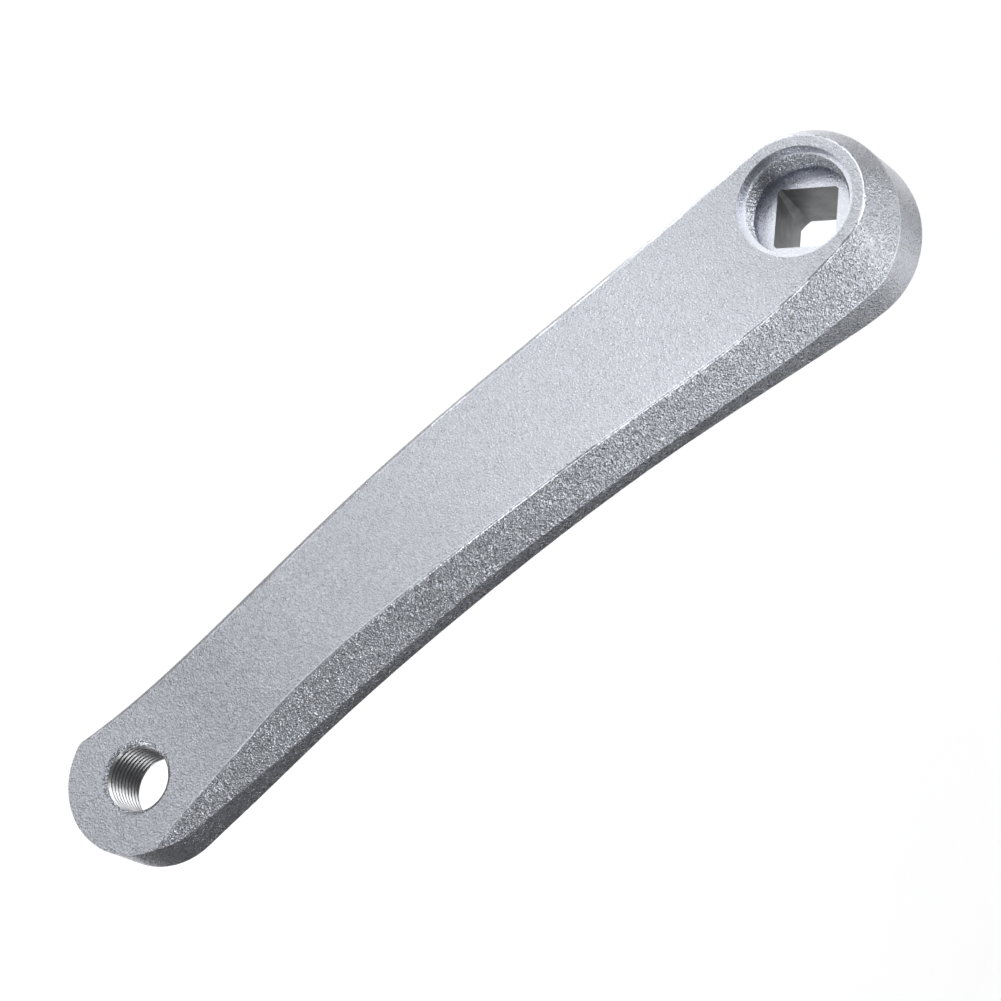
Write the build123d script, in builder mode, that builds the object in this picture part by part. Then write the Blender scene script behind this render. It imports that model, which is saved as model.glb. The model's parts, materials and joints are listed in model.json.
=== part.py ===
from build123d import *
from math import atan2, cos, radians, sin, tan
import os

# Left-hand bicycle crank arm with a square tapered socket, in millimetres.
# The spindle axis is Z, the arm runs along +X and the outer face looks along +Z.
# The origin is on the spindle axis, on the back face of the boss.

# Lengths along the arm
crank_length = 170.0
face_flat_end = 4.0
boss_exit = 12.0
sweep_end = 47.0
waist_from_pedal = 31.0
seat_flat = 8.0
eye_overhang = 10.0

# Heights
boss_depth = 26.4
boss_pad_height = 4.2
pedal_rise = 16.5
sweep_rise = 6.3
middle_rise = 15.1
waist_rise = 17.6
arm_thickness = 13.4
boss_exit_rise = 4.1

# Plan outline, as half widths and radii
boss_half_width = 21.1
boss_reach = 19.8
sweep_half_width = 19.2
waist_half_width = 16.05
pedal_end_radius = 15.45

# Outer face between the bevels, as half widths
boss_face_radius = 14.2
sweep_face_half_width = 14.0
middle_face_half_width = 12.4
waist_face_half_width = 11.1
eye_face_half_width = 15.8
bevel_angle = 56.7
eye_spread = 0.26

# Relief on the end of the boss
relief_angle = 8.0
relief_foot_level = 6.4
relief_radius = 21.5

# Boss pad on the back
boss_pad_radius = 18.0
boss_pad_chamfer = 0.8
boss_pad_root = 12.0

# Puller bore, cut for an M22 x 1 thread
puller_bore_radius = 10.46
puller_bore_depth = 8.2
entry_radius = 11.8
entry_depth = 1.9
thread_relief_radius = 11.1
thread_relief_width = 1.2

# Square tapered socket
socket_flats = 12.6
socket_taper = 2.0
socket_corner_diameter = 17.0

# Pedal hole, cut for a 9/16 inch x 20 thread
pedal_bore_radius = 6.46
pedal_chamfer = 1.05

# Edge rounding
back_edge_radius = 1.2
crease_radius = 0.6

# Slopes that tell the sides apart: outer face and back above the first, walls below the second
level_facing = 0.8
plumb_facing = 0.3

# Radii that differ by less than this are the same
same_size = 0.01

# How far a shape that trims the arm runs past its outline
overrun = 30.0

os.makedirs("parts", exist_ok=True)

# Heights above the origin
face_level = boss_depth
back_level = boss_pad_height
exit_level = back_level + boss_exit_rise
seat_level = face_level + pedal_rise
sweep_level = face_level + sweep_rise
middle_level = face_level + middle_rise
waist_level = face_level + waist_rise
floor_level = face_level - puller_bore_depth

# Stations along the arm
waist_x = crank_length - waist_from_pedal
middle_x = (sweep_end + waist_x) / 2
seat_x = crank_length - seat_flat
eye_x = crank_length + eye_overhang
outer_x = crank_length + pedal_end_radius + overrun
inner_x = -boss_reach - overrun

# The arm plane joins the centres of the boss face and of the pedal seat
arm_rise = atan2(pedal_rise, crank_length)
bevel_run = 1 / tan(radians(bevel_angle))
arm_plane = Plane(
    origin=(0, 0, face_level),
    x_dir=(cos(arm_rise), 0, sin(arm_rise)),
    z_dir=(-sin(arm_rise), 0, cos(arm_rise)),
)

# The bevelled solid reaches from below the boss to above the bowed face
bevel_base = -boss_depth
bevel_top = waist_rise * cos(arm_rise)


def bevel_point(height, x, level, half_width):
    """Where the bevel through a point of the face's edge meets a height over the arm plane."""
    along = x * cos(arm_rise) + (level - face_level) * sin(arm_rise)
    above = (level - face_level) * cos(arm_rise) - x * sin(arm_rise)
    return (along, half_width + (above - height) * bevel_run)


with BuildPart() as socket:
    socket_mouth_flats = socket_flats + 2 * floor_level * tan(radians(socket_taper))
    with BuildSketch(Plane.XY) as socket_mouth:
        Rectangle(socket_mouth_flats, socket_mouth_flats, rotation=45)
    extrude(amount=floor_level, taper=socket_taper)
    Cylinder(
        socket_corner_diameter / 2,
        floor_level,
        align=(Align.CENTER, Align.CENTER, Align.MIN),
        mode=Mode.INTERSECT,
    )

with BuildPart() as crank_arm:
    # Side profile: bowed outer face over a back that runs along with it
    with BuildSketch(Plane.XZ) as side_profile:
        with BuildLine():
            face = Spline(
                (face_flat_end, face_level),
                (sweep_end, sweep_level),
                (middle_x, middle_level),
                (waist_x, waist_level),
                (seat_x, seat_level),
                tangents=[(1, 0), (1, 0)],
            )
            seat = Line(face @ 1, (outer_x, seat_level))
            tip = Line(seat @ 1, (outer_x, seat_level - arm_thickness))
            back_flat = Line(tip @ 1, (seat_x, seat_level - arm_thickness))
            back = Spline(
                back_flat @ 1,
                (waist_x, waist_level - arm_thickness),
                (middle_x, middle_level - arm_thickness),
                (sweep_end, sweep_level - arm_thickness),
                (boss_exit, exit_level),
                (-boss_pad_radius / 2, back_level),
                tangents=[(-1, 0), (-1, 0)],
            )
            boss_back = Line(back @ 1, (inner_x, back_level))
            boss_end = Line(boss_back @ 1, (inner_x, face_level))
            Line(boss_end @ 1, face @ 0)
        make_face()
    extrude(amount=boss_half_width + overrun, both=True)

    # Plan outline: boss end, tapering sides and pedal end
    boss_centre_x = boss_half_width - boss_reach
    with BuildSketch(Plane.XY) as plan_outline:
        with BuildLine():
            side = Spline(
                (boss_centre_x, boss_half_width),
                (sweep_end, sweep_half_width),
                (waist_x, waist_half_width),
                (crank_length, pedal_end_radius),
                tangents=[(1, 0), (1, 0)],
            )
            mirror(side, about=Plane.XZ)
            ThreePointArc(
                (boss_centre_x, boss_half_width),
                (-boss_reach, 0),
                (boss_centre_x, -boss_half_width),
            )
            ThreePointArc(
                (crank_length, pedal_end_radius),
                (crank_length + pedal_end_radius, 0),
                (crank_length, -pedal_end_radius),
            )
        make_face()
    extrude(amount=waist_level + overrun, mode=Mode.INTERSECT)
    back_faces = crank_arm.faces().filter_by(lambda side: side.normal_at().Z < -level_facing)
    wall_faces = crank_arm.faces().filter_by(lambda side: abs(side.normal_at().Z) < plumb_facing)
    fillet(back_faces.edges() & wall_faces.edges(), back_edge_radius)

    # Bevels along both sides and around the boss, of one slope to the arm plane
    bevel_centre_x = -boss_face_radius * sin(arm_rise) * bevel_run
    for height in (bevel_base, bevel_top):
        boss_arc_radius = boss_face_radius - height * bevel_run
        with BuildSketch(arm_plane.offset(height)) as bevel_outline:
            with BuildLine():
                bevel_side = Spline(
                    (bevel_centre_x, boss_arc_radius),
                    bevel_point(height, sweep_end, sweep_level, sweep_face_half_width),
                    bevel_point(height, middle_x, middle_level, middle_face_half_width),
                    bevel_point(height, waist_x, waist_level, waist_face_half_width),
                    bevel_point(height, eye_x, seat_level, eye_face_half_width),
                    tangents=[(1, 0), (1, eye_spread)],
                )
                run_out = Line(bevel_side @ 1, bevel_side @ 1 + bevel_side % 1 * overrun)
                mirror(bevel_side, about=Plane.XZ)
                mirror(run_out, about=Plane.XZ)
                run_out_end = run_out @ 1
                Line(run_out_end, (run_out_end.X, -run_out_end.Y))
                ThreePointArc(
                    (bevel_centre_x, boss_arc_radius),
                    (bevel_centre_x - boss_arc_radius, 0),
                    (bevel_centre_x, -boss_arc_radius),
                )
            make_face()
    loft(ruled=True, mode=Mode.INTERSECT)

    # Relief: the end of the boss leans in towards the outer face
    lean = radians(relief_angle)
    relief_plane = Plane(
        origin=(-boss_reach, 0, relief_foot_level),
        x_dir=(cos(lean), 0, -sin(lean)),
        z_dir=(sin(lean), 0, cos(lean)),
    )
    with BuildSketch(relief_plane) as relief:
        with Locations((relief_radius, 0)):
            Circle(relief_radius)
            Rectangle(2 * outer_x, 2 * relief_radius, align=(Align.MIN, Align.CENTER))
    extrude(amount=2 * waist_level, both=True, mode=Mode.INTERSECT)

    # Rounded crease between the outer face and the bevels
    outer_faces = crank_arm.faces().filter_by(lambda side: side.normal_at().Z > level_facing)
    bevels = crank_arm.faces().filter_by(
        lambda side: plumb_facing < side.normal_at().Z < level_facing
    )
    fillet(outer_faces.edges() & bevels.edges(), crease_radius)

    # Boss pad: the machined back face around the socket
    with BuildSketch(Plane.XY) as boss_pad:
        Circle(boss_pad_radius)
    extrude(amount=boss_pad_root)
    pad_edge = crank_arm.edges().filter_by(GeomType.CIRCLE).group_by(Axis.Z)[0]
    chamfer(pad_edge, boss_pad_chamfer)

    # Puller bore with its entry recess and the relief groove at the end of the thread
    with Locations((0, 0, face_level)):
        CounterBoreHole(puller_bore_radius, entry_radius, entry_depth, depth=puller_bore_depth)
    with BuildSketch(Plane.XY.offset(floor_level)) as thread_relief:
        Circle(thread_relief_radius)
    extrude(amount=thread_relief_width, mode=Mode.SUBTRACT)
    add(socket.part, mode=Mode.SUBTRACT)

    # Pedal hole, countersunk at both ends
    with BuildSketch(Plane.XY.offset(seat_level)) as pedal_hole:
        with Locations((crank_length, 0)):
            Circle(pedal_bore_radius)
    extrude(amount=-arm_thickness, mode=Mode.SUBTRACT)
    pedal_rims = crank_arm.edges().filter_by(GeomType.CIRCLE).filter_by(
        lambda edge: abs(edge.radius - pedal_bore_radius) < same_size
    )
    chamfer(pedal_rims, pedal_chamfer)

crank_arm.part.label = "crank_arm"
export_step(crank_arm.part, "parts/crank_arm.step")
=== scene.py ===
import json
import math

import bmesh
import bpy
from bpy.props import FloatProperty, FloatVectorProperty, PointerProperty
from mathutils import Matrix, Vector


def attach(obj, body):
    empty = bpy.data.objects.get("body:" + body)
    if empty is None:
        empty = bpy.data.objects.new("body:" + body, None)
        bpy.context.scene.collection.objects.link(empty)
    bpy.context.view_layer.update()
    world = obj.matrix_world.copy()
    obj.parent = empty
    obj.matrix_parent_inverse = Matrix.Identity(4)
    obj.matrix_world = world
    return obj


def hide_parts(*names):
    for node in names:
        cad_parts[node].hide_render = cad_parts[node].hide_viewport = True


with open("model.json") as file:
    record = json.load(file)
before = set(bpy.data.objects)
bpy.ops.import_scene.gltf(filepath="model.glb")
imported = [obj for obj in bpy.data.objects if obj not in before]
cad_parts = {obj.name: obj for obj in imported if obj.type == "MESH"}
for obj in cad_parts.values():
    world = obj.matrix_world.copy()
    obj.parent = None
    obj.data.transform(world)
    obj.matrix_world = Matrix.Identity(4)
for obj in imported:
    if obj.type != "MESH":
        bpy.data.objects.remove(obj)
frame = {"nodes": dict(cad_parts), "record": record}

bl_info = {
    "name": "Bicycle Crank Arm",
    "version": (1, 0, 0),
    "blender": (4, 5, 0),
    "location": "View3D > Sidebar > Crank Arm",
    "description": "Dresses the solid crank arm with threads, sparkle paint and machined metal",
    "category": "Object",
}

NODE = "crank_arm"
MOUNTS = {mount["name"]: mount for mount in frame["record"]["mounts"]}
MM_PER_METRE = 1000


def mount_radius(name):
    return MOUNTS[name]["dims"]["r_mm"] / MM_PER_METRE


def mount_length(name):
    return MOUNTS[name]["dims"]["length_mm"] / MM_PER_METRE


def mount_place(name):
    return Vector(MOUNTS[name]["pos_m"])


# The arm's finishes, in the order of its material slots
FINE_PAINT, COARSE_PAINT, TURNED_METAL, SHADED_BROACHED_METAL, HIGHLIGHT_PAINT = range(5)

# Vertices nearer than this are one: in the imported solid, and once the threads are cut
SOLID_GAP = 1e-6
CUT_GAP = 2e-6

# Ridge between bevels and walls: how far it turns, and where along the arm its rounding fades
RIDGE_TURN = (math.radians(22), math.radians(40))
RIDGE_FADE = (mount_radius("puller_thread"), 3 * mount_radius("puller_thread"))

# Upward part of a face's normal, by which the forms of the arm are told apart
WALL_RISE = (-0.1, 0.3)
BEVEL_RISE = (0.3, 0.8)
RIDGE_RISE = (0.2, 0.43)
CREASE_RISE = (0.6, 0.985)
COUNTERSINK_RISE = (0.6, 0.8)
COARSE_RISE = 0.6
LEVEL_RISE = 0.9

# Sideways part of the normal past which a face belongs to the crease
CREASE_LEAN = 0.1

# Distances from the axis of each hole that take in its socket, its bore and its rim
SPINDLE_AXIS = mount_place("spindle_socket")
PEDAL_AXIS = mount_place("pedal_thread")
SOCKET_REACH = mount_radius("puller_thread") - 0.001
BORE_REACH = mount_radius("cap_recess") + 0.0001
EYE_REACH = mount_radius("pedal_thread") + 0.0006
EYE_RIM_REACH = EYE_REACH + 0.001

# Heights: top of the back pad's chamfer, foot of the puller thread, and just under the boss face
PAD_TOP = 0.00085
THREAD_FOOT = mount_place("puller_thread").z - mount_length("puller_thread") / 2
SEAT_TOP = 0.025

# Threads: steps in a turn, flank angle, and how far each groove runs on past its mount
THREAD_STEPS = 60
FLANK_ANGLE = math.radians(30)
LEFT_HAND, RIGHT_HAND = -1, 1
PEDAL_RUN_OUT = 0.0013
PULLER_RUN_OUT = 0.0005

# Stage: drop of the floor, level of the hidden cards, and what the lamps aim at on the arm
FLOOR_DROP = 0.30
CARD_LEVEL = -0.07
MIDDLE = (0.08, 0, 0.03)
BORE = (0, 0, 0.03)
SOCKET = (0, 0, 0.02)
WAIST = (0.15, 0, 0.03)

# Each lamp's name, place, aim, width and power in watts
LAMPS = (
    ("key_lamp", (-0.673, -0.527, 0.949), MIDDLE, 0.8, 1.5),
    ("top_lamp", (-0.283, -0.63, 1.108), MIDDLE, 1.2, 2.6),
    ("pedal_lamp", (0.453, -0.646, 1.095), MIDDLE, 0.9, 1.8),
    ("end_lamp", (-0.839, 0, 0.949), MIDDLE, 0.7, 3.7),
    ("bore_lamp", (-0.07, -0.58, 1.07), BORE, 0.3, 0.12),
    ("crease_lamp", (0.59, 0.40, 1.17), WAIST, 0.4, 1.7),
    ("boss_lamp", (-0.343, 0.288, 0.059), SOCKET, 0.25, 0.55),
    ("floor_lamp", (0.75, 0, 0), (0.2, 0, -FLOOR_DROP), 0.6, 4.0),
    ("far_floor_lamp", (-0.12, -0.65, 0), (-0.05, -0.2, -FLOOR_DROP), 0.5, 2.2),
    ("side_floor_lamp", (-0.45, 0.55, 0), (-0.4, 0.5, -FLOOR_DROP), 0.4, 0.8),
    ("near_floor_lamp", (0, 0.8, 0), (0, 0.3, -FLOOR_DROP), 0.4, 2.2),
)

# Each hidden card's name and paint, and its low and high corner
CARDS = (
    ("eye_flag", "black_card", (0.09, -0.025), (0.405, 0.335)),
    ("boss_flag", "black_card", (-0.015, 0.012), (0.09, 0.335)),
    ("socket_flag", "black_card", (-0.07, -0.02), (-0.035, 0.012)),
    ("far_flag", "grey_card", (0.03, -0.24), (0.21, -0.03)),
)
CARD_COLOURS = {"black_card": (0.05, 0.05, 0.05), "grey_card": (0.33, 0.33, 0.335)}
PAPER_ROUGHNESS = 0.6


# Sizes and colours that a user would change


class ArmSizes(bpy.types.PropertyGroup):
    ridge_round: FloatProperty(
        name="Ridge rounding",
        description="Width of the rounding on the ridge round the end of the boss",
        default=0.0018,
        unit="LENGTH",
    )
    ridge_taper: FloatProperty(
        name="Ridge taper",
        description="How much of that rounding is left on the long sides",
        default=0.35,
    )
    smooth_angle: FloatProperty(
        name="Smooth angle",
        description="Edges that turn by less than this are shaded smooth",
        default=math.radians(27),
        subtype="ANGLE",
    )
    pedal_pitch: FloatProperty(
        name="Pedal thread pitch",
        description="Advance of the pedal thread in one turn, 20 threads an inch",
        default=0.0254 / 20,
        unit="LENGTH",
    )
    pedal_depth: FloatProperty(
        name="Pedal thread depth",
        description="Depth of the pedal thread's groove below its crests",
        default=0.0005,
        unit="LENGTH",
    )
    puller_pitch: FloatProperty(
        name="Puller thread pitch",
        description="Advance of the puller thread in one turn",
        default=0.001,
        unit="LENGTH",
    )
    puller_depth: FloatProperty(
        name="Puller thread depth",
        description="Depth of the puller thread's groove below its crests",
        default=0.00045,
        unit="LENGTH",
    )


class ArmColours(bpy.types.PropertyGroup):
    paint: FloatVectorProperty(
        name="Paint",
        description="Silver of the paint",
        default=(0.60, 0.62, 0.675),
        subtype="COLOR",
    )
    paint_roughness: FloatProperty(
        name="Paint roughness",
        description="How far the paint spreads a reflection",
        default=0.24,
    )
    grain_size: FloatProperty(
        name="Grain size",
        description="Width of one grain of the paint's rough skin",
        default=0.0004,
        unit="LENGTH",
    )
    grain_height: FloatProperty(
        name="Grain height",
        description="Height of the paint's rough skin",
        default=0.00018,
        unit="LENGTH",
    )
    metal: FloatVectorProperty(
        name="Machined metal",
        description="Colour of the bare aluminium in the holes",
        default=(0.62, 0.625, 0.64),
        subtype="COLOR",
    )
    metal_roughness: FloatProperty(
        name="Metal roughness",
        description="How far the machined metal spreads a reflection",
        default=0.24,
    )


class StageSettings(bpy.types.PropertyGroup):
    floor_drop: FloatProperty(
        name="Floor drop",
        description="Distance from the arm down to the floor",
        default=FLOOR_DROP,
        unit="LENGTH",
    )
    floor_size: FloatProperty(
        name="Floor size",
        description="Half the width of the floor",
        default=4.0,
        unit="LENGTH",
    )
    floor_colour: FloatVectorProperty(
        name="Floor",
        description="Colour of the floor",
        default=(0.96, 0.96, 0.96),
        subtype="COLOR",
    )
    room_colour: FloatVectorProperty(
        name="Room",
        description="Light of the room all round",
        default=(0.08, 0.08, 0.083),
        subtype="COLOR",
    )
    camera_place: FloatVectorProperty(
        name="Camera place",
        description="Where the camera stands",
        default=(0.034642, 0.263030, 0.500546),
        subtype="TRANSLATION",
    )
    camera_turn: FloatVectorProperty(
        name="Camera turn",
        description="How the camera is turned",
        default=(0.324477, 0.399314, 2.464097),
        subtype="EULER",
    )
    camera_lens: FloatProperty(
        name="Camera lens",
        description="Focal length in millimetres on a 36 mm sensor",
        default=98.9,
    )


# Shader maths


class Value:
    """A shader socket that takes part in plain arithmetic."""

    def __init__(self, tree, socket):
        self.tree = tree
        self.socket = socket

    def maths(self, operation, first, second):
        node = self.tree.nodes.new("ShaderNodeMath")
        node.operation = operation
        plug(self.tree, node.inputs[0], first)
        plug(self.tree, node.inputs[1], second)
        return Value(self.tree, node.outputs[0])

    def __add__(self, other):
        return self.maths("ADD", self, other)

    def __radd__(self, other):
        return self.maths("ADD", other, self)

    def __mul__(self, other):
        return self.maths("MULTIPLY", self, other)

    def __rmul__(self, other):
        return self.maths("MULTIPLY", other, self)


def plug(tree, socket, term):
    """Links a value into a socket, or sets the socket to a number or colour."""
    if isinstance(term, Value):
        tree.links.new(term.socket, socket)
    elif hasattr(term, "__len__") and len(term) == 3 and len(socket.default_value) == 4:
        socket.default_value = (*term, 1)
    else:
        socket.default_value = term


def pick(sockets, name):
    """The first socket that has this identifier or this name."""
    return next(socket for socket in sockets if name in (socket.identifier, socket.name))


class Finish:
    """A material with its surface shader and its object coordinates ready."""

    def __init__(self, name, metallic, roughness):
        self.material = bpy.data.materials.new(name)
        self.material.use_nodes = True
        self.tree = self.material.node_tree
        self.tree.nodes.clear()
        output = self.node("ShaderNodeOutputMaterial")
        self.shader = self.node("ShaderNodeBsdfPrincipled")
        plug(self.tree, output.inputs["Surface"], Value(self.tree, self.shader.outputs[0]))
        self.place = self.add("ShaderNodeTexCoord", out="Object")
        self.set("Metallic", metallic)
        self.set("Roughness", roughness)

    def set(self, socket, term):
        plug(self.tree, self.shader.inputs[socket], term)

    def node(self, kind, settings=(), sockets=()):
        """A node of a kind: its settings are set first, then its sockets."""
        node = self.tree.nodes.new(kind)
        for key, choice in dict(settings).items():
            setattr(node, key, choice)
        for key, term in dict(sockets).items():
            plug(self.tree, pick(node.inputs, key), term)
        return node

    def add(self, kind, settings=(), sockets=(), out=None):
        """The output asked for, or else the first, of a new node."""
        outputs = self.node(kind, settings, sockets).outputs
        return Value(self.tree, pick(outputs, out) if out else outputs[0])

    def noise(self, size, detail=2.0, roughness=0.5, place=None):
        return self.add(
            "ShaderNodeTexNoise",
            sockets={
                "Vector": place or self.place,
                "Scale": 1 / size,
                "Detail": detail,
                "Roughness": roughness,
            },
        )

    def cells(self, size, out):
        return self.add(
            "ShaderNodeTexVoronoi",
            sockets={"Vector": self.place, "Scale": 1 / size},
            out=out,
        )

    def ramp(self, value, low, high):
        """Takes a value from low to high over to 0 to 1."""
        return self.add(
            "ShaderNodeMapRange",
            sockets={"Value": value, "From Min": low, "From Max": high},
        )

    def mix(self, factor, first, second):
        return self.add(
            "ShaderNodeMix",
            {"data_type": "RGBA"},
            {"Factor_Float": factor, "A_Color": first, "B_Color": second},
            out="Result_Color",
        )

    def bump(self, height, distance):
        return self.add("ShaderNodeBump", sockets={"Height": height, "Distance": distance})


# Finishes of the arm


def sparkle_paint(name, colours, coarseness, painted_lightness=1.0):
    """Satin silver paint: a grainy skin whose flakes catch the light."""
    metallic = 0.92
    flake_size, cloud_size = 0.8 * colours.grain_size, 0.012
    flake_dulling, flake_shine, flake_spread = 0.16, 0.05, 0.10
    cloud_shade, cloud_strength, ripple_share = 0.93, 0.25, 0.6

    paint = Finish(name, metallic, colours.paint_roughness)
    # Above one, this paints the silver lighter, as a painted highlight
    base = Vector(colours.paint) * painted_lightness
    dull = base * (1 - flake_dulling * coarseness)
    bright = base * (1 + flake_shine * coarseness)
    grain = paint.cells(colours.grain_size, out="Distance")
    ripple = paint.noise(colours.grain_size, roughness=0.6)
    flakes = paint.cells(flake_size, out="Color")
    cloud = paint.noise(cloud_size)
    shade = paint.mix(paint.ramp(flakes, low=0.25, high=0.75), dull, bright)
    clouding = paint.ramp(cloud, low=0.3, high=0.7) * cloud_strength
    skin = grain + ripple * ripple_share
    paint.set("Base Color", paint.mix(clouding, shade, base * cloud_shade))
    paint.set("Roughness", colours.paint_roughness + flakes * flake_spread)
    paint.set("Normal", paint.bump(skin, colours.grain_height * coarseness))
    return paint.material


def machined_metal(colours):
    """Bare turned aluminium with fine tool marks round each hole."""
    mark_size, mark_depth, mark_spread = 0.0006, 0.00001, 0.10
    mark_dark, mark_light = 0.86, 1.02

    metal = Finish("machined_metal", 1.0, colours.metal_roughness)
    base = Vector(colours.metal)
    marks = metal.noise(mark_size, detail=3)
    metal.set("Base Color", metal.mix(marks, base * mark_dark, base * mark_light))
    metal.set("Roughness", colours.metal_roughness + marks * mark_spread)
    metal.set("Normal", metal.bump(marks, mark_depth))
    return metal.material


def shaded_broached_metal(colours):
    """Bare broached aluminium of the socket, scored along the way the broach went, darkened as
    painted shade.
    """
    score_width, score_depth, score_spread = 0.0004, 0.00002, 0.15
    # Tones at well under two thirds of the metal's colour: painted shade of the deep socket, with
    # the broach's scores
    shade_and_score_dark, shade_and_score_light = 0.42, 0.62
    along_broach = (1.0, 1.0, 0.04)
    stain_size, stain_shade = 0.004, 0.75
    added_roughness = 0.22

    metal = Finish("shaded_broached_metal", 1.0, colours.metal_roughness)
    base = Vector(colours.metal)
    stretched = metal.add(
        "ShaderNodeMapping",
        sockets={"Vector": metal.place, "Scale": along_broach},
    )
    scores = metal.noise(score_width, detail=3, place=stretched)
    stain = metal.noise(stain_size, detail=3, roughness=0.6)
    shade = metal.mix(scores, base * shade_and_score_dark, base * shade_and_score_light)
    staining = metal.ramp(stain, low=0.35, high=0.7)
    metal.set("Base Color", metal.mix(staining, shade, base * stain_shade))
    metal.set("Roughness", colours.metal_roughness + added_roughness + scores * score_spread)
    metal.set("Normal", metal.bump(scores, score_depth))
    return metal.material


# Shaping helpers


def piece_from(bm, name, materials):
    """Turns a bmesh into a shown piece at the origin."""
    mesh = bpy.data.meshes.new(name)
    bm.to_mesh(mesh)
    bm.free()
    for material in materials:
        mesh.materials.append(material)
    piece = bpy.data.objects.new(name, mesh)
    bpy.context.scene.collection.objects.link(piece)
    return piece


def thread_cutter(mount, pitch, depth, hand, run_out):
    """The groove of an inside thread, as a closed solid to be cut away."""
    crest, centre = mount_radius(mount), mount_place(mount)
    length = mount_length(mount) + 2 * run_out
    bottom = centre.z - length / 2
    overlap = 2 * depth
    root = pitch / 10
    mouth = root + (depth + overlap) * math.tan(FLANK_ANGLE)
    corners = (
        (crest + depth, root),
        (crest - overlap, mouth),
        (crest - overlap, -mouth),
        (crest + depth, -root),
    )
    bm = bmesh.new()
    section = [bm.verts.new((centre.x + r, centre.y, bottom + z)) for r, z in corners]
    face = bm.faces.new(section)
    count = round(length / pitch * THREAD_STEPS)
    bmesh.ops.spin(
        bm,
        geom=[face, *face.edges, *face.verts],
        cent=centre,
        axis=(0, 0, 1),
        dvec=(0, 0, pitch / THREAD_STEPS),
        angle=hand * math.tau * count / THREAD_STEPS,
        steps=count,
        use_merge=False,
        use_normal_flip=False,
        use_duplicate=False,
    )
    bmesh.ops.holes_fill(bm, edges=[e for e in bm.edges if e.is_boundary], sides=4)
    bmesh.ops.recalc_face_normals(bm, faces=bm.faces)
    return piece_from(bm, f"{mount}_cutter", [])


def settle(piece, helpers):
    """Works a piece's modifiers into its mesh and drops the helpers that they used."""
    bpy.context.view_layer.update()
    depsgraph = bpy.context.evaluated_depsgraph_get()
    shaped = bpy.data.meshes.new_from_object(piece.evaluated_get(depsgraph))
    piece.modifiers.clear()
    piece.data = shaped
    for helper in helpers:
        bpy.data.objects.remove(helper)


def turn_angle(edge):
    return edge.calc_face_angle() if len(edge.link_faces) == 2 else 0


def within(value, bounds):
    return bounds[0] < value < bounds[1]


# The arm


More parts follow.
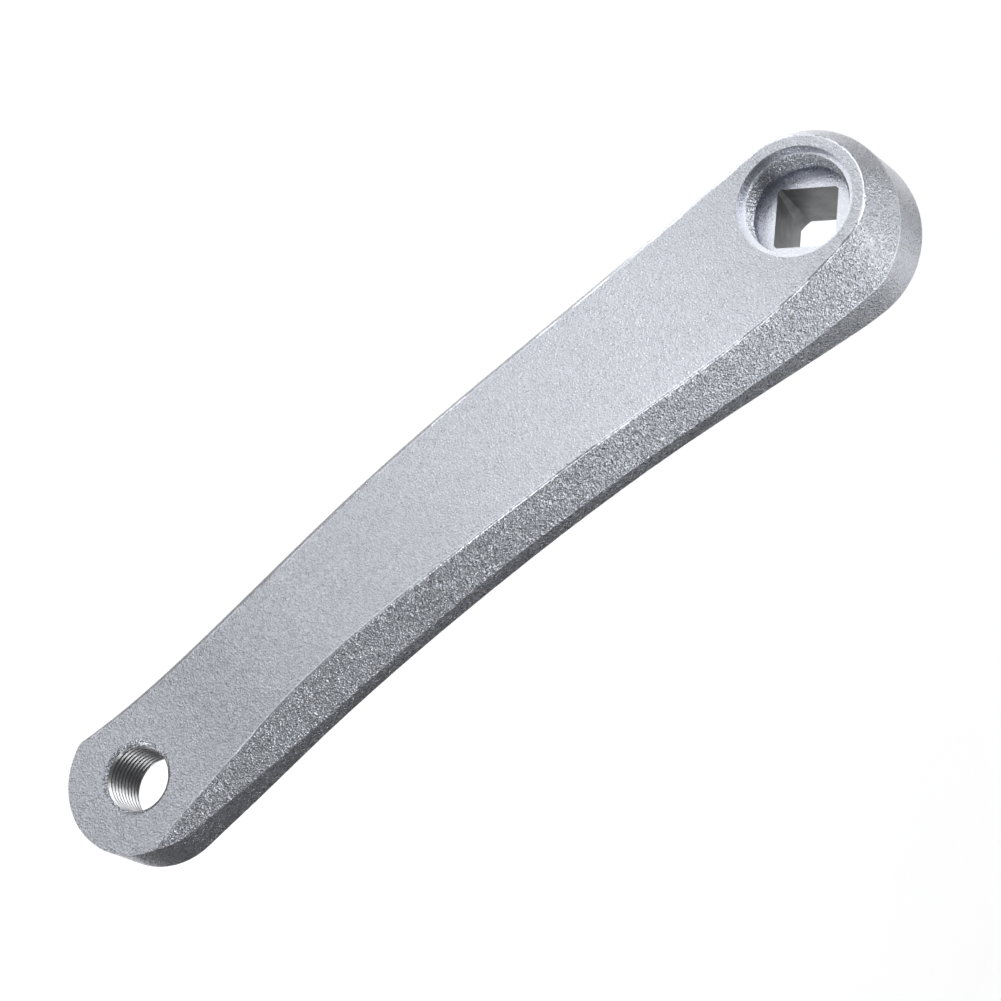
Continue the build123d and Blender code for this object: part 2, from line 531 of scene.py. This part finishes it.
class CRANK_OT_forging(bpy.types.Operator):
    """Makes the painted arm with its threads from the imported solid"""

    bl_idname = "crank.forging"
    bl_label = "Forged Arm"

    def execute(self, context):
        sizes = context.scene.arm_sizes
        bm = bmesh.new()
        bm.from_mesh(frame["nodes"][NODE].data)
        bmesh.ops.remove_doubles(bm, verts=bm.verts, dist=SOLID_GAP)
        self.mark_ridge(bm, sizes.ridge_taper)
        arm = piece_from(bm, "forged_arm", self.finishes(context.scene.arm_colours))
        ridge = arm.modifiers.new("ridge", "BEVEL")
        ridge.limit_method = "WEIGHT"
        ridge.offset_type = "WIDTH"
        ridge.width = sizes.ridge_round
        ridge.segments = 4
        self.cut_threads(arm, sizes)
        self.finish_faces(arm, sizes.smooth_angle)
        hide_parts(NODE)
        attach(arm, "root")
        return {"FINISHED"}

    def finishes(self, colours):
        """The arm's materials, in the order of its slots."""
        return [
            sparkle_paint("fine_paint", colours, coarseness=0.45),
            sparkle_paint("coarse_paint", colours, coarseness=1),
            machined_metal(colours),
            shaded_broached_metal(colours),
            # A copy of the paint a third lighter: a painted highlight on the crease and ridge, and
            # painted light on the bore's seat
            sparkle_paint("painted_highlight_paint", colours, coarseness=0.15, painted_lightness=1.35),
        ]

    def mark_ridge(self, bm, taper):
        """Weights the ridge between bevels and walls for its rounding, widest round the boss."""
        weight = bm.edges.layers.float.new("bevel_weight_edge")
        start, end = RIDGE_FADE
        for edge in bm.edges:
            if within(turn_angle(edge), RIDGE_TURN) and self.on_ridge(edge):
                along = (edge.verts[0].co.x + edge.verts[1].co.x) / 2
                share = min(max((along - start) / (end - start), 0), 1)
                edge[weight] = 1 - share * (1 - taper)

    def on_ridge(self, edge):
        """Whether an edge lies between a wall and a bevel."""
        lower, upper = sorted(face.normal.z for face in edge.link_faces)
        return within(lower, WALL_RISE) and within(upper, BEVEL_RISE)

    def cut_threads(self, arm, sizes):
        """Cuts both threads and works them, with the rounding, into the arm's mesh."""
        pedal = (sizes.pedal_pitch, sizes.pedal_depth, LEFT_HAND, PEDAL_RUN_OUT)
        puller = (sizes.puller_pitch, sizes.puller_depth, RIGHT_HAND, PULLER_RUN_OUT)
        cutters = [thread_cutter("pedal_thread", *pedal), thread_cutter("puller_thread", *puller)]
        for cutter in cutters:
            cut = arm.modifiers.new("thread", "BOOLEAN")
            cut.operation = "DIFFERENCE"
            cut.solver = "EXACT"
            cut.object = cutter
        settle(arm, cutters)

    def finish_faces(self, arm, smooth_angle):
        """Gives each face its finish and its smooth or sharp edges."""
        bm = bmesh.new()
        bm.from_mesh(arm.data)
        bmesh.ops.remove_doubles(bm, verts=bm.verts, dist=CUT_GAP)
        bmesh.ops.dissolve_degenerate(bm, edges=bm.edges, dist=CUT_GAP)
        for face in bm.faces:
            face.smooth = True
            face.material_index = self.finish_at(face.calc_center_median(), face.normal)
        for edge in bm.edges:
            edge.smooth = turn_angle(edge) < smooth_angle
        bm.to_mesh(arm.data)
        bm.free()
        weights = arm.modifiers.new("even shading", "WEIGHTED_NORMAL")
        weights.keep_sharp = True

    def finish_at(self, spot, normal):
        """The finish of a face, by its place and the way it faces."""
        from_spindle = (spot - SPINDLE_AXIS).xy.length
        from_pedal = (spot - PEDAL_AXIS).xy.length
        upright = abs(normal.z) < LEVEL_RISE
        countersink = within(abs(normal.z), COUNTERSINK_RISE)
        if spot.z < PAD_TOP:
            return TURNED_METAL
        # The socket's walls take the broached metal darkened as painted shade
        if from_spindle < SOCKET_REACH and upright and spot.z < THREAD_FOOT:
            return SHADED_BROACHED_METAL
        if from_pedal < EYE_REACH and upright and not countersink:
            return TURNED_METAL
        hole = from_spindle < BORE_REACH or from_pedal < EYE_RIM_REACH
        seat = from_spindle < BORE_REACH and normal.z > LEVEL_RISE and spot.z < SEAT_TOP
        sideways = abs(normal.y) > CREASE_LEAN or spot.x < 0
        crease = within(normal.z, CREASE_RISE) and sideways
        ridge = within(normal.z, RIDGE_RISE)
        # The crease, the ridge and the bore's seat take the lighter paint, as a painted highlight
        # and painted light
        if seat or not hole and (crease or ridge):
            return HIGHLIGHT_PAINT
        if countersink or normal.z < COARSE_RISE and not hole:
            return COARSE_PAINT
        return FINE_PAINT


# The stage


class CRANK_OT_stage(bpy.types.Operator):
    """Sets the floor, the hidden cards, the room, the lamps and the camera"""

    bl_idname = "crank.stage"
    bl_label = "Stage"

    def execute(self, context):
        stage = context.scene.arm_stage
        self.floor(stage)
        self.flags()
        self.room(context.scene, stage)
        for name, place, aim, size, power in LAMPS:
            self.lamp(name, Vector(place), Vector(aim), size, power)
        self.camera(context.scene, stage)
        context.scene.view_settings.view_transform = "Standard"
        return {"FINISHED"}

    def plain(self, name, colour):
        """A matt paper of one colour."""
        finish = Finish(name, 0.0, PAPER_ROUGHNESS)
        finish.set("Base Color", colour)
        return finish.material

    def sheet(self, name, low, high, level, material):
        """A level rectangle from its low corner to its high one."""
        bm = bmesh.new()
        bmesh.ops.create_grid(bm, x_segments=1, y_segments=1, size=0.5)
        bmesh.ops.scale(bm, verts=bm.verts, vec=(high[0] - low[0], high[1] - low[1], 1))
        middle = ((low[0] + high[0]) / 2, (low[1] + high[1]) / 2, level)
        bmesh.ops.translate(bm, verts=bm.verts, vec=middle)
        return piece_from(bm, name, [material])

    def floor(self, stage):
        paper = self.plain("floor_paper", stage.floor_colour)
        half = stage.floor_size
        floor = self.sheet("floor", (-half, -half), (half, half), -stage.floor_drop, paper)

    def flags(self):
        """Cards under the arm, hidden from the camera, that its walls and holes reflect."""
        paints = {name: self.plain(name, colour) for name, colour in CARD_COLOURS.items()}
        for name, paint, low, high in CARDS:
            card = self.sheet(name, low, high, CARD_LEVEL, paints[paint])
            card.visible_camera = False
            card.visible_shadow = False

    def room(self, scene, stage):
        world = bpy.data.worlds.new("room")
        world.use_nodes = True
        glow = world.node_tree.nodes["Background"].inputs["Color"]
        glow.default_value = (*stage.room_colour, 1)
        scene.world = world

    def lamp(self, name, place, aim, size, power):
        light = bpy.data.lights.new(name, "AREA")
        light.shape = "DISK"
        light.size = size
        light.energy = power
        lamp = bpy.data.objects.new(name, light)
        lamp.location = place
        lamp.visible_camera = False
        lamp.rotation_euler = (aim - place).to_track_quat("-Z", "Y").to_euler()
        bpy.context.scene.collection.objects.link(lamp)

    def camera(self, scene, stage):
        lens = bpy.data.cameras.new("camera")
        lens.lens = stage.camera_lens
        lens.sensor_width = 36
        camera = bpy.data.objects.new("camera", lens)
        camera.location = stage.camera_place
        camera.rotation_euler = stage.camera_turn
        scene.collection.objects.link(camera)
        scene.camera = camera


class CRANK_PT_panel(bpy.types.Panel):
    """Lists the steps that build the crank arm"""

    bl_label = "Crank Arm"
    bl_space_type = "VIEW_3D"
    bl_region_type = "UI"
    bl_category = "Crank Arm"

    def draw(self, context):
        for operator in (CRANK_OT_forging, CRANK_OT_stage):
            self.layout.operator(operator.bl_idname)
        for group in (context.scene.arm_sizes, context.scene.arm_colours, context.scene.arm_stage):
            for key in group.bl_rna.properties.keys():
                if key not in ("rna_type", "name"):
                    self.layout.prop(group, key)


CLASSES = (
    ArmSizes,
    ArmColours,
    StageSettings,
    CRANK_OT_forging,
    CRANK_OT_stage,
    CRANK_PT_panel,
)


def register():
    for cls in CLASSES:
        bpy.utils.register_class(cls)
    bpy.types.Scene.arm_sizes = PointerProperty(type=ArmSizes)
    bpy.types.Scene.arm_colours = PointerProperty(type=ArmColours)
    bpy.types.Scene.arm_stage = PointerProperty(type=StageSettings)


def unregister():
    del bpy.types.Scene.arm_stage
    del bpy.types.Scene.arm_colours
    del bpy.types.Scene.arm_sizes
    for cls in reversed(CLASSES):
        bpy.utils.unregister_class(cls)


def main():
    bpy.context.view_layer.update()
    register()
    bpy.ops.crank.forging()
    bpy.ops.crank.stage()


if __name__ == "__main__":
    main()
